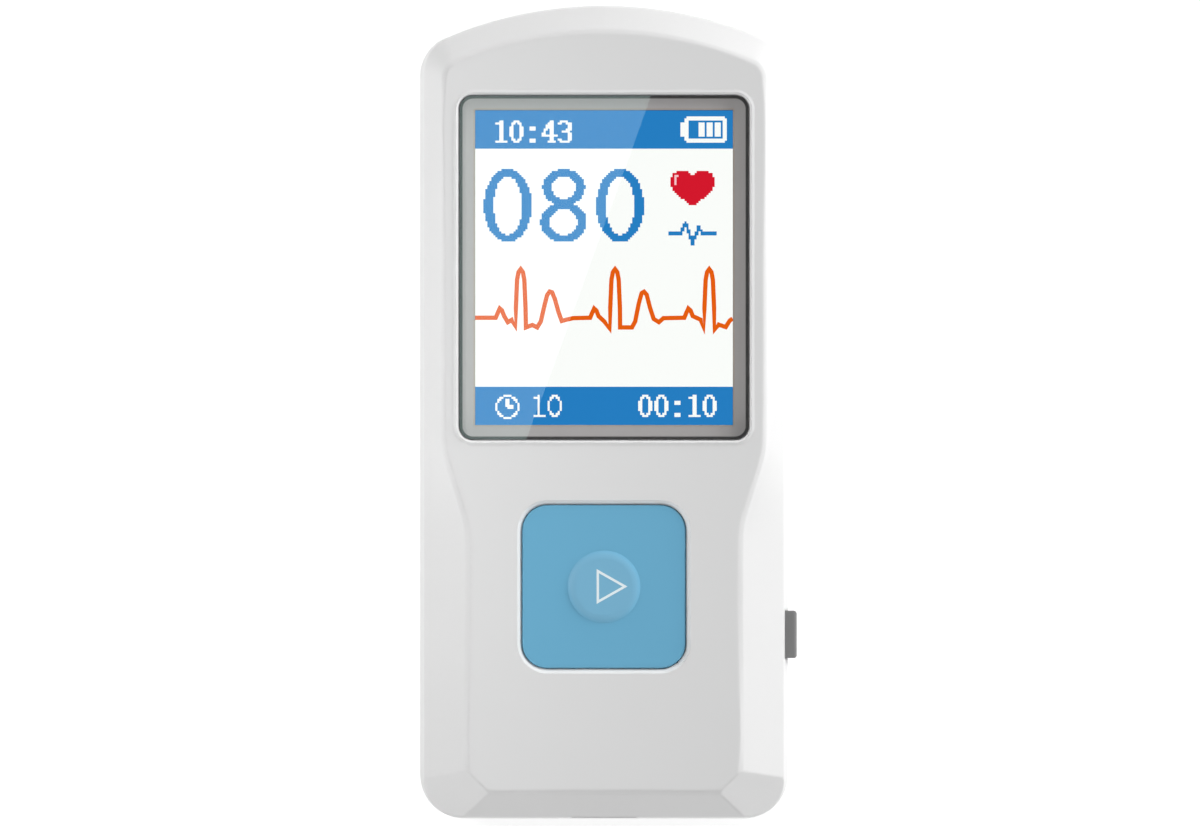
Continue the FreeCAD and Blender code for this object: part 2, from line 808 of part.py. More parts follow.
def make_shield_can():
    """Drawn steel cover over the signal amplifier, open towards the board."""
    can = chip(*can_offset, can_width, can_length, can_height)
    inner_width, inner_length = can_width - 2 * can_sheet, can_length - 2 * can_sheet
    return can.cut(chip(*can_offset, inner_width, inner_length, can_height - can_sheet))


def make_board_passives():
    capacitors = [
        chip(capacitor_start + capacitor_pitch * index, capacitor_rise, *capacitor_size)
        for index in range(capacitor_count)]
    return [chip(*crystal), chip(*inductor)] + capacitors


def make_main_switch_body():
    half = switch_size / 2
    body = box(-half, half, key_y - half, key_y + half, board_top, switch_top)
    well = cylinder(0, key_y, board_top + switch_floor, switch_top, switch_plunger_diameter + 2 * plunger_gap)
    return body.cut(well)


def make_main_switch_plunger():
    low = board_top + switch_floor + key_travel + switch_overtravel
    return cylinder(0, key_y, low, plunger_top, switch_plunger_diameter)


def side_switch_face():
    """X of the face that the side plunger comes out of."""
    return side_key_inner() - side_plunger_reach


def side_key_inner():
    """X of the side key's inner face at rest."""
    return half_width - side_wall - fit_gap - side_key_flange_thickness


def make_side_switch_body():
    face = side_switch_face()
    half = side_switch_length / 2
    body = box(face - side_switch_depth, face, side_key_y - half, side_key_y + half,
               board_top, board_top + side_switch_height)
    slot_depth = side_plunger_seat + side_key_travel + side_switch_overtravel
    return body.cut(side_plunger_form(face - slot_depth, face, plunger_gap))


def side_plunger_form(x0, x1, gap):
    half = side_plunger_width / 2 + gap
    high = side_plunger_height / 2 + gap
    return box(x0, x1, side_key_y - half, side_key_y + half, side_key_z - high, side_key_z + high)


def make_side_switch_plunger():
    return side_plunger_form(side_switch_face() - side_plunger_seat, side_key_inner(), 0)


def make_side_key():
    """Small key: a rounded cap through the wall and a flange behind it."""
    half = side_key_length / 2
    high = side_key_height / 2
    cap = box(side_key_inner(), half_width + side_key_proud, side_key_y - half, side_key_y + half,
              side_key_z - high, side_key_z + high)
    outer = [e for e in cap.Edges if all(v.X > half_width for v in e.Vertexes)]
    cap = cap.makeFillet(side_key_round, outer)
    reach = half + side_key_flange
    flange = box(side_key_inner(), side_key_inner() + side_key_flange_thickness, side_key_y - reach,
                 side_key_y + reach, board_top + fit_gap, side_key_z + high + side_key_flange_rise)
    return fuse(cap, flange)


def key_disc():
    """Raised round centre of the start key: a flat top that rolls down to the key in one tangent arc."""
    outer = key_disc_diameter / 2
    inner = outer - key_disc_roll
    top = key_top + key_disc_height
    radius = (key_disc_roll ** 2 + key_disc_height ** 2) / (2 * key_disc_height)
    half_turn = math.asin(key_disc_roll / radius) / 2
    foot, crest = Vector(outer, 0, key_top), Vector(inner, 0, top)
    middle = crest + Vector(math.sin(half_turn), 0, math.cos(half_turn) - 1) * radius
    corners = [crest, Vector(0, 0, top), Vector(0, 0, key_underside), Vector(outer, 0, key_underside), foot]
    edges = [line(start, end) for start, end in zip(corners, corners[1:])]
    profile = Part.Face(Part.Wire(edges + [arc(foot, middle, crest)]))
    disc = profile.revolve(Vector(0, 0, 0), Vector(0, 0, 1), 360)
    disc.translate(Vector(0, key_y, 0))
    return disc


def make_main_key():
    """Start key: square cap with a raised round centre, flange, cross ribs and a stem to the switch."""
    cap = plate(0, key_y, key_size, key_size, key_corner, flange_top - key_flange_thickness, key_top)
    cap = cap.makeChamfer(key_edge_bevel, edges_at(cap, key_top))
    flange_size = key_size + 2 * key_flange
    flange = plate(0, key_y, flange_size, flange_size, key_corner + key_flange,
                   flange_top - key_flange_thickness, flange_top)
    hollow_size = key_size - 2 * key_skirt_wall
    hollow = plate(0, key_y, hollow_size, hollow_size, key_corner - key_skirt_wall,
                   flange_top - key_flange_thickness, key_underside)
    key = fuse(cap, key_disc(), flange).cut(hollow)
    stem = cylinder(0, key_y, plunger_top, key_underside + root, key_stem_diameter)
    reach = hollow_size / 2 + root
    rib = key_rib / 2
    low = flange_top - key_flange_thickness
    cross = box(-reach, reach, key_y - rib, key_y + rib, low, key_underside + root)
    upright = box(-rib, rib, key_y - reach, key_y + reach, low, key_underside + root)
    return fuse(key, stem, cross, upright)


# ---- Charging port ----
def port_section(inset, y):
    """Flat-topped mouth outline with its two lower corners cut off."""
    a = port_width / 2 - inset
    top = board_top + port_height - inset
    low = board_top + inset
    half = [(a, top), (a, low + port_chamfer), (a - port_chamfer, low)]
    corners = half + [(-x, z) for x, z in reversed(half)]
    return Part.makePolygon([Vector(x, y, z) for x, z in corners + half[:1]])


def make_usb_shell():
    solid = Part.Face(port_section(0, port_mouth_y)).extrude(Vector(0, port_depth, 0))
    hole = Part.Face(port_section(port_wall, port_mouth_y)).extrude(Vector(0, port_depth, 0))
    return solid.cut(hole)


def make_usb_tongue():
    """Insulator block at the back of the port with the contact tongue."""
    back_y = port_mouth_y + port_depth
    outline_face = Part.Face(port_section(port_wall, back_y - port_block_depth))
    block = outline_face.extrude(Vector(0, port_block_depth, 0))
    middle = board_top + port_height / 2 + port_tongue_rise
    half = port_tongue_thickness / 2
    tongue = box(-port_tongue_width / 2, port_tongue_width / 2, port_mouth_y + port_tongue_setback,
                 back_y, middle - half, middle + half)
    return fuse(block, tongue)


# ---- Battery ----
def battery_bottom():
    return rear_wall + battery_foam_thickness


def make_battery_cell():
    low, high = battery_bottom(), battery_bottom() + battery_thickness
    cell = battery_block(0, low, high)
    sides = [e for e in cell.Edges if abs(e.Length - battery_length) < 1e-6]
    return cell.makeFillet(battery_round, sides)


def make_battery_foam():
    return battery_block(-battery_foam_inset, rear_wall, battery_bottom())


def plug_y():
    """Y of the plug's face that the battery leads enter."""
    return battery_centre_y() - battery_length / 2 - lead_length


def make_battery_lead(side):
    """Short straight wire from the battery's lower edge to the plug."""
    start = Vector(side * lead_spacing / 2, plug_y(), battery_bottom() + battery_thickness / 2)
    return Part.makeCylinder(lead_diameter / 2, lead_length, start, Vector(0, 1, 0))


def make_battery_connector():
    half = plug_width / 2
    return box(-half, half, plug_y() - plug_depth, plug_y(), board_bottom - plug_height, board_bottom)


# ---- Electrodes ----
def tab_block(x, y, gap, z0, z1):
    """Electrode tab, or its slot with a gap round it."""
    half_wide = tab_width / 2 + gap
    half_thick = tab_thickness / 2 + gap
    return box(x - half_wide, x + half_wide, y - half_thick, y + half_thick, z0, z1)


def make_electrode(x, y, width, length):
    """Stainless plate, flush with the back, with a tab through the wall."""
    face = plate(x, y, width, length, electrode_corner, 0, electrode_thickness)
    return fuse(face, tab_block(x, y, 0, electrode_thickness / 2, tab_top))


def make_electrode_seals():
    """Adhesive sheets between the plates and the floors of their recesses."""
    sheets = []
    for x, y, width, length in electrode_places.values():
        half_wide, half_long = width / 2 - seal_inset, length / 2 - seal_inset
        sheet = box(
            x - half_wide, x + half_wide, y - half_long, y + half_long, electrode_thickness, seal_top)
        sheets.append(sheet.cut(tab_block(x, y, fit_gap, electrode_thickness, seal_top)))
    return sheets


def make_electrode_clips():
    """Push-on plates that hold the tabs against the wall pads."""
    half = clip_size / 2
    top = pad_height + clip_thickness
    return [
        box(x - half, x + half, y - half, y + half, pad_height, top).cut(
            tab_block(x, y, screw_thread_gap, pad_height, top))
        for x, y, _, _ in electrode_places.values()]


def make_electrode_springs():
    """Bent strips from the board's underside down onto the tabs."""
    springs = []
    high = board_bottom - spring_thickness / 2
    low = tab_top + spring_thickness / 2
    for x, y, _, _ in electrode_places.values():
        points = [Vector(x, y + reach, high) for reach in spring_pad]
        points += [Vector(x, y + reach, low) for reach in spring_foot]
        springs.append(strip(points, spring_bend_radius, spring_width, spring_thickness))
    return springs


# ---- Screws ----
def make_screw(x, y, head_bottom, head_height, head_diameter, reach):
    """Cross-recess screw driven upwards from the back; its head ends at the seat."""
    seat = head_bottom + head_height
    head = cylinder(x, y, head_bottom, seat, head_diameter)
    half, reach_half = cross_width / 2, cross_length / 2
    for dx, dy in ((reach_half, half), (half, reach_half)):
        head = head.cut(box(x - dx, x + dx, y - dy, y + dy, head_bottom, head_bottom + cross_depth))
    shank = cylinder(x, y, seat, seat + reach, screw_shank_diameter)
    return fuse(head, shank)


def make_housing_screws():
    head_bottom = screw_recess_depth - screw_head_height
    reach = board_top + housing_screw_reach - fit_gap - screw_recess_depth
    return [
        make_screw(x, y, head_bottom, screw_head_height, screw_head_diameter, reach)
        for x, y in housing_bosses]


def make_board_screws():
    return [
        make_screw(x, y, board_bottom - board_screw_head_height, board_screw_head_height,
                   board_screw_head, board_screw_length)
        for x, y in board_bosses]


# ---- The monitor ----
def build_nodes():
    """Every piece by its name; a list is a group of separate solids."""
    nodes = {
        "front_shell": make_front_shell(),
        "rear_shell": make_rear_shell(),
        "screen_window": make_screen_window(),
        "window_mask": border_frame(mask_bottom, mask_top, 0, 0),
        "window_adhesive": border_frame(ledge_top, mask_bottom, ledge_reveal, adhesive_inset),
        "lcd_gasket": picture_block(2 * ledge_reveal, cell_top, inner_face).cut(
            picture_block(ledge_reveal, cell_top, inner_face)),
        "lcd_cell": display_block(0, cell_bottom, cell_top),
        "lcd_backlight": display_block(0, backlight_bottom, cell_bottom),
        "lcd_holder": make_lcd_holder(),
        "lcd_flex": make_lcd_flex(),
        "flex_connector": make_flex_connector(),
        "main_board": make_main_board(),
        "processor_chips": make_processor_chips(),
        "shield_can": make_shield_can(),
        "board_passives": make_board_passives(),
        "main_key": make_main_key(),
        "main_switch_body": make_main_switch_body(),
        "main_switch_plunger": make_main_switch_plunger(),
        "side_key": make_side_key(),
        "side_switch_body": make_side_switch_body(),
        "side_switch_plunger": make_side_switch_plunger(),
        "usb_shell": make_usb_shell(),
        "usb_tongue": make_usb_tongue(),
        "battery_cell": make_battery_cell(),
        "battery_foam": make_battery_foam(),
        "battery_lead_red": make_battery_lead(1),
        "battery_lead_black": make_battery_lead(-1),
        "battery_connector": make_battery_connector(),
        "electrode_seals": make_electrode_seals(),
        "electrode_clips": make_electrode_clips(),
        "electrode_springs": make_electrode_springs(),
        "housing_screws": make_housing_screws(),
        "board_screws": make_board_screws(),
    }
    for name, place in electrode_places.items():
        nodes[name] = make_electrode(*place)
    return nodes


os.makedirs("parts", exist_ok=True)
for name, shape in build_nodes().items():
    if isinstance(shape, list):
        shape = Part.makeCompound(shape)
    print(name, len(shape.Solids), shape.isValid(), round(shape.Volume, 2))
    shape.exportStep(f"parts/{name}.step")
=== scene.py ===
"""Looks of the palm ECG monitor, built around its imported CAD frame. Lengths are in metres."""
import math

import bmesh
import bpy
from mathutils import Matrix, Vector


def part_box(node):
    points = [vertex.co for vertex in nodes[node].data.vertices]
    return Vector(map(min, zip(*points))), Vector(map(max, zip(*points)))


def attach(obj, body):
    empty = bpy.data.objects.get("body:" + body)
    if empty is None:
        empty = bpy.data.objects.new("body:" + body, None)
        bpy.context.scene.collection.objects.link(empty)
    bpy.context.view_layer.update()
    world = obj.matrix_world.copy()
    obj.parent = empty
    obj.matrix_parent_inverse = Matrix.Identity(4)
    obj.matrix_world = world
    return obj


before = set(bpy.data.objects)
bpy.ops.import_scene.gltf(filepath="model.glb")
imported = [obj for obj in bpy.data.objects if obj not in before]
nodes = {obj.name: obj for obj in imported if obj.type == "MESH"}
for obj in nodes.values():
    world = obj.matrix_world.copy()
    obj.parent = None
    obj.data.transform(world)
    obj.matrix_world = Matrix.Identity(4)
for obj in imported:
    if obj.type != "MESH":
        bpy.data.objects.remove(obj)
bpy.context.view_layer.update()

MM = 0.001


# ---- Colours, as they look on a screen from 0 to 255 ----
def linear(*values):
    """Scene-linear colour of an 8-bit display colour, by the sRGB curve."""
    parts = [v / 255 for v in values]
    return [p / 12.92 if p <= 0.04045 else ((p + 0.055) / 1.055) ** 2.4 for p in parts]


# ---- Material building blocks ----
class Shader:
    """A material under construction: its node tree and the few steps that all finishes share."""

    def __init__(self, name):
        self.material = bpy.data.materials.new(name)
        self.material.use_nodes = True
        self.tree = self.material.node_tree
        self.principled = self.tree.nodes["Principled BSDF"]
        self.output = self.tree.nodes["Material Output"]

    def node(self, kind, **settings):
        made = self.tree.nodes.new(kind)
        for key, value in settings.items():
            setattr(made, key, value)
        return made

    def link(self, source, target):
        self.tree.links.new(source, target)

    def put(self, value, target):
        """A constant or another node's output into an input."""
        if isinstance(value, bpy.types.NodeSocket):
            self.link(value, target)
        else:
            target.default_value = value

    def set(self, **values):
        """Constants or outputs into the Principled node; underscores stand for spaces."""
        for key, value in values.items():
            self.put(value, self.principled.inputs[key.replace("_", " ")])

    def place(self, scale=(1, 1, 1)):
        """Object coordinates in metres, stretched by scale."""
        coordinates = self.node("ShaderNodeTexCoord")
        mapping = self.node("ShaderNodeMapping")
        mapping.inputs["Scale"].default_value = scale
        self.link(coordinates.outputs["Object"], mapping.inputs["Vector"])
        return mapping.outputs["Vector"]

    def noise(self, size, detail=2.0, roughness=0.5, stretch=(1, 1, 1)):
        """Noise whose features are about size metres wide."""
        texture = self.node("ShaderNodeTexNoise")
        texture.inputs["Scale"].default_value = 1 / size
        texture.inputs["Detail"].default_value = detail
        texture.inputs["Roughness"].default_value = roughness
        self.link(self.place(stretch), texture.inputs["Vector"])
        return texture.outputs["Fac"]

    def span(self, source, low, high, start=0.0, end=1.0):
        """A value between start and end spread from low to high."""
        spread = self.node("ShaderNodeMapRange")
        settings = {"From Min": start, "From Max": end, "To Min": low, "To Max": high}
        for key, value in settings.items():
            spread.inputs[key].default_value = value
        self.link(source, spread.inputs["Value"])
        return spread.outputs["Result"]

    def times(self, first, second):
        """Product of two values."""
        product = self.node("ShaderNodeMath", operation="MULTIPLY")
        self.link(first, product.inputs[0])
        self.link(second, product.inputs[1])
        return product.outputs["Value"]

    def mix(self, factor, first, second):
        """Colour between two, each a colour or another node's output, by a 0 to 1 value."""
        blend = self.node("ShaderNodeMix", data_type="RGBA")
        self.link(factor, blend.inputs["Factor"])
        for value, key in ((first, "A"), (second, "B")):
            is_output = isinstance(value, bpy.types.NodeSocket)
            self.put(value if is_output else (*value, 1), blend.inputs[key])
        return blend.outputs["Result"]

    def bump(self, height, distance, strength=1.0):
        """Relief of the given depth in metres."""
        relief = self.node("ShaderNodeBump")
        relief.inputs["Distance"].default_value = distance
        relief.inputs["Strength"].default_value = strength
        self.link(height, relief.inputs["Height"])
        self.link(relief.outputs["Normal"], self.principled.inputs["Normal"])
        return relief


def shade(colour, share):
    """Colour made darker by the given share."""
    return [c * (1 - share) for c in colour]


def moulded_plastic(name, colour, roughness=0.4, grain=0.25 * MM, depth=0.004 * MM, variation=0.03):
    """Injection-moulded plastic: faint flow clouds in its colour, fine spark-eroded grain, uneven gloss."""
    s = Shader(name)
    uneven = 0.05
    s.tone = s.mix(s.noise(18 * MM, detail=3), shade(colour, variation), colour)
    s.set(Base_Color=s.tone)
    s.set(Roughness=s.span(s.noise(1.5 * MM, detail=4), roughness - uneven, roughness + uneven))
    s.relief = s.bump(s.noise(grain, detail=2), depth)
    return s


def shell_plastic(name, roughness):
    """White housing plastic with softened edges, but crisp ones at the window and the start key."""
    white = (0.824, 0.824, 0.824)
    crisp, soft = 0.03 * MM, 0.55 * MM      # radii of the edges
    s = moulded_plastic(name, white, roughness=roughness)
    outside = []
    for node, margin in (("screen_window", 0.8 * MM), ("main_key", 0.6 * MM)):
        low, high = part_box(node)
        distance = box_distance(s, (low + high) / 2, (high - low) / 2, 0)
        outside.append(line_edge(s, distance, margin, blur=0.2 * MM))
    rounding = s.node("ShaderNodeBevel", samples=6)
    s.link(s.span(s.times(*outside), crisp, soft), rounding.inputs["Radius"])
    s.link(rounding.outputs["Normal"], s.relief.inputs["Normal"])
    return s


def metal(name, colour, roughness=0.28, stretch=(1, 1, 1), line=0.08 * MM, depth=0.003 * MM):
    """Rolled or brushed metal; stretch below 1 draws the marks out along that axis."""
    s = Shader(name)
    smoother, rougher = 0.07, 0.12
    marks = s.noise(line, detail=4, roughness=0.6, stretch=stretch)
    s.set(Metallic=1.0, Base_Color=s.mix(marks, shade(colour, 0.3), colour))
    s.set(Roughness=s.span(marks, roughness - smoother, roughness + rougher))
    s.bump(marks, depth)
    return s


def soft_sheet(name, colour, cell=0.35 * MM, depth=0.03 * MM):
    """Foam, rubber and adhesive sheets: matt, with small open cells."""
    s = Shader(name)
    cells = s.node("ShaderNodeTexVoronoi", feature="F1")
    cells.inputs["Scale"].default_value = 1 / cell
    s.link(s.place(), cells.inputs["Vector"])
    s.set(Roughness=0.9, Base_Color=s.mix(cells.outputs["Distance"], shade(colour, 0.35), colour))
    s.bump(cells.outputs["Distance"], depth)
    return s


def light_through(s):
    """Lets lamps shine through a clear pane instead of stopping at it."""
    path = s.node("ShaderNodeLightPath")
    clear = s.node("ShaderNodeBsdfTransparent")
    pane = s.node("ShaderNodeMixShader")
    s.link(path.outputs["Is Shadow Ray"], pane.inputs["Fac"])
    s.link(s.principled.outputs["BSDF"], pane.inputs[1])
    s.link(clear.outputs["BSDF"], pane.inputs[2])
    s.link(pane.outputs["Shader"], s.output.inputs["Surface"])


def key_with_painted_lit_centre(name, colour, painted_lit_centre_colour, radius):
    """Key plastic whose round raised centre is coloured a little lighter: a painted highlight that stands in
    for light falling on the raised top.
    """
    s = moulded_plastic(name, colour, roughness=0.42)
    low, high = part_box("main_key")
    distance = box_distance(s, (low + high) / 2, Vector(), 0)
    off_centre = line_edge(s, distance, radius, blur=0.35 * MM)
    # Painted highlight: the round centre gets the lighter colour in place of the key's own tone.
    s.set(Base_Color=s.mix(off_centre, painted_lit_centre_colour, s.tone))
    return s


def clear_window(name):
    """Hard-coated acrylic: clear and glossy, with the faintest waviness in its surface."""
    s = Shader(name)
    s.set(Roughness=0.0, IOR=1.49, Base_Color=(0.985, 0.99, 0.99, 1), Transmission_Weight=1.0)
    s.bump(s.noise(14 * MM, detail=1), 0.002 * MM, strength=0.3)
    light_through(s)
    return s


def box_distance(s, centre, half_size, corner):
    """Distance from a rectangle that is smaller by the corner radius on each side."""
    steps = [
        ("SUBTRACT", centre),
        ("ABSOLUTE", None),
        ("SUBTRACT", half_size - Vector((corner, corner, 0))),
        ("MAXIMUM", (0, 0, 0)),
        ("MULTIPLY", (1, 1, 0)),
        ("LENGTH", None),
    ]
    source = s.node("ShaderNodeTexCoord").outputs["Object"]
    for operation, value in steps:
        step = s.node("ShaderNodeVectorMath", operation=operation)
        s.link(source, step.inputs[0])
        if value is not None:
            step.inputs[1].default_value = value
        source = step.outputs["Value" if operation == "LENGTH" else "Vector"]
    return source


def line_edge(s, distance, place, blur=0.06 * MM):
    """0 below the place and 1 above it, with a soft step between."""
    edge = s.node("ShaderNodeMapRange", interpolation_type="SMOOTHSTEP")
    edge.inputs["From Min"].default_value = place - blur
    edge.inputs["From Max"].default_value = place + blur
    s.link(distance, edge.inputs["Value"])
    return edge.outputs["Result"]


def printed_border(name, outer_box):
    """Grey screen print with a thin warm line round the picture, and along its rounded rim a dark band that
    is painted shadow of the gap between window and housing.
    """
    low, high = outer_box
    centre, half_size = (low + high) / 2, (high - low) / 2
    corner = 1.7 * MM
    rim = 0.4 * MM
    picture_line = 0.2 * MM
    print_grey, painted_gap_shadow_grey, line_grey = linear(194, 190, 189), linear(65, 63, 63), linear(189, 178, 169)
    s = Shader(name)
    # Painted shadow: the outer band of the print is darkened where the gap round the window would be in
    # shade.
    in_painted_gap_shadow = line_edge(s, box_distance(s, centre, half_size, corner), corner - rim)
    picture_half = Vector((picture_width, picture_length, 0)) / 2
    off_picture = line_edge(s, box_distance(s, centre, picture_half, 0), picture_line)
    s.set(Base_Color=s.mix(in_painted_gap_shadow, s.mix(off_picture, line_grey, print_grey), painted_gap_shadow_grey))
    s.set(Roughness=s.span(s.noise(0.4 * MM, detail=3), 0.42, 0.55))
    return s


def glowing(name, colour):
    """Lit picture element: its own light through the fine stripes of the colour filter."""
    s = Shader(name)
    stripe_scale = 6 / math.tau                 # about three stripes to a picture pixel
    stripes = s.node("ShaderNodeTexWave", wave_type="BANDS", bands_direction="X")
    stripes.inputs["Scale"].default_value = stripe_scale / picture_pixel
    s.link(s.place(), stripes.inputs["Vector"])
    s.set(Base_Color=(0, 0, 0, 1), Roughness=0.6, Specular_IOR_Level=0.0)
    s.set(Emission_Color=s.mix(stripes.outputs["Fac"], shade(colour, 0.03), colour))
    s.set(Emission_Strength=1 / window_clearness)
    return s


def circuit_board(name):
    """Green solder mask over copper tracks that show as a slightly raised, lighter pattern."""
    s = Shader(name)
    tracks = s.node("ShaderNodeTexBrick", offset=0.37, squash=0.6, squash_frequency=3)
    tracks.inputs["Scale"].default_value = 1 / (1.6 * MM)
    tracks.inputs["Mortar Size"].default_value = 0.06
    s.link(s.place(), tracks.inputs["Vector"])
    s.set(Base_Color=s.mix(tracks.outputs["Fac"], (0.012, 0.11, 0.045), (0.03, 0.2, 0.08)))
    s.set(Roughness=0.3, Coat_Weight=0.4, Coat_Roughness=0.1)
    s.bump(tracks.outputs["Fac"], 0.03 * MM)
    return s


def bare_glass(name):
    """Display glass seen edge-on round the picture: dark, smooth, slightly blue."""
    s = Shader(name)
    s.set(Roughness=0.12, Base_Color=s.mix(s.noise(6 * MM), (0.01, 0.012, 0.016), (0.02, 0.024, 0.03)))
    return s


# ---- Lit picture; places and sizes in its drawings are in picture pixels, from the upper left ----
picture_width = 31.6 * MM
picture_length = 38.6 * MM
picture_columns = 128
picture_rows = 156
picture_pixel = picture_width / picture_columns
layer = 0.02 * MM               # thickness of each coat of picture elements
bar_rows = 19                   # height of the blue bars
digit_pitch = 8                 # from one clock character to the next
digit_height = 11
picture_centre = sum(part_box("window_mask"), Vector()) / 2
glass_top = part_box("lcd_cell")[1].z
window_clearness = 0.92         # share of the picture's light that the window lets out


def picture_point(column, row):
    """X and Y in the frame of a point of the picture."""
    x = picture_centre.x + (column / picture_columns - 0.5) * picture_width
    y = picture_centre.y + (0.5 - row / picture_rows) * picture_length
    return x, y


def pixel_solid(name, cells, level):
    """Closed thin solid over a set of picture pixels, on the given coat."""
    bottom = glass_top + level * layer
    mesh = bmesh.new()
    corners = {}

    def corner(column, row, z):
        key = (column, row, z)
        if key not in corners:
            corners[key] = mesh.verts.new((*picture_point(column, row), z))
        return corners[key]

    for column, row in cells:
        square = [(column, row), (column, row + 1), (column + 1, row + 1), (column + 1, row)]
        mesh.faces.new([corner(*c, bottom + layer) for c in square])
        mesh.faces.new([corner(*c, bottom) for c in reversed(square)])
        neighbours = [(column - 1, row), (column, row + 1), (column + 1, row), (column, row - 1)]
        for index, neighbour in enumerate(neighbours):
            if neighbour not in cells:
                a, b = square[index], square[(index + 1) % len(square)]
                low_a, low_b = corner(*a, bottom), corner(*b, bottom)
                high_a, high_b = corner(*a, bottom + layer), corner(*b, bottom + layer)
                mesh.faces.new([low_a, low_b, high_b, high_a])
    return mesh_object(name, mesh)


def mesh_object(name, mesh):
    """Scene object from a bmesh, which is freed."""
    data = bpy.data.meshes.new(name)
    mesh.normal_update()
    mesh.to_mesh(data)
    mesh.free()
    made = bpy.data.objects.new(name, data)
    bpy.context.scene.collection.objects.link(made)
    return made


def block(x0, x1, y0, y1, inside=lambda x, y: True):
    """Picture pixels whose centres lie between the sides and in the shape."""
    columns = range(max(0, math.floor(x0)), min(picture_columns, math.ceil(x1)))
    rows = range(max(0, math.floor(y0)), min(picture_rows, math.ceil(y1)))
    return {
        (column, row) for column in columns for row in rows
        if x0 <= column + 0.5 <= x1 and y0 <= row + 0.5 <= y1 and inside(column + 0.5, row + 0.5)}


def oval(cx, cy, rx, ry):
    return block(cx - rx, cx + rx, cy - ry, cy + ry,
                 lambda x, y: ((x - cx) / rx) ** 2 + ((y - cy) / ry) ** 2 <= 1)


def ring(cx, cy, rx, ry, pen_x, pen_y):
    """Oval line that is pen_x wide at its sides and pen_y at its ends."""
    return oval(cx, cy, rx, ry) - oval(cx, cy, rx - pen_x, ry - pen_y)


def stroke(points, pen):
    """Line through the points with round ends."""
    cells = set()
    for (ax, ay), (bx, by) in zip(points, points[1:]):
        dx, dy = bx - ax, by - ay

        def near(x, y):
            along = max(0.0, min(1.0, ((x - ax) * dx + (y - ay) * dy) / (dx * dx + dy * dy)))
            return math.hypot(x - ax - along * dx, y - ay - along * dy) <= pen / 2

        cells |= block(min(ax, bx) - pen, max(ax, bx) + pen, min(ay, by) - pen, max(ay, by) + pen, near)
    return cells


def clock_character(character, x, y, pen):
    """Pixels of a 0, 1, 3, 4 or colon with its upper left corner at x, y."""
    foot = y + digit_height
    if character == "0":
        radius = digit_height / 2
        return ring(x + 3.5, y + radius, 3.5, radius, pen, 1.2)
    if character == "1":
        stem = block(x + 3, x + 3 + pen, y, foot)
        return stem | block(x + 1, x + 7, foot - 1, foot) | block(x + 1, x + 3, y + 1, y + 2)
    if character == "3":
        bowls = ring(x + 3.4, y + 3, 3.6, 3, pen, 1) | ring(x + 3.4, foot - 3, 3.8, 3, pen, 1)
        return bowls - block(x - 2, x + 2, y + 2.5, foot - 2.5)
    if character == "4":
        stem = block(x + 4, x + 4 + pen, y, foot) | block(x + 3, x + 7, foot - 1, foot)
        slope = stroke([(x + 0.5, y + 7), (x + 4.5, y + 0.5)], 1.5)
        return stem | block(x, x + 8, y + 7, y + 8) | slope
    return block(x + 2, x + 5, y + 3, y + 5) | block(x + 2, x + 5, foot - 2, foot)


def clock_text(text, x, y, pen=2.0):
    """Pixels of a row of clock characters."""
    places = [(character, x + digit_pitch * index) for index, character in enumerate(text)]
    return set().union(*(clock_character(character, place, y, pen) for character, place in places))


def battery_symbol():
    """Lying battery with its contact at the left and three of four cells full."""
    middle_x, middle_y, corner_cut = 114.5, 9.5, 15.5
    case = block(104, 125, 3, 16, lambda x, y: abs(x - middle_x) + abs(y - middle_y) < corner_cut)
    hollow = block(106, 123, 5, 14)
    contact = block(102, 104, 6, 13)
    cells = set().union(*(block(start, start + 3, 6, 13) for start in (111, 115, 119)))
    return case - hollow | contact | cells


def clock_symbol():
    """Dial with two hands."""
    x, y, radius = 16, 147, 6
    return ring(x, y, radius, radius, 1.2, 1.2) | stroke([(x, y - 3.5), (x, y), (x + 3, y)], 1)


def heart_shape(x, y):
    """Two lobes above a rounded point."""
    middle, waist, point_height, fullness = 108, 36.4, 11.3, 1.5
    lobe_x, lobe_y, lobe_radius = 5.1, 35.6, 6.1
    across = abs(x - middle)
    if y < waist:
        return math.hypot(across - lobe_x, y - lobe_y) <= lobe_radius
    depth = (y - waist) / point_height
    return depth < 1 and across <= (lobe_x + lobe_radius) * (1 - depth ** fullness)


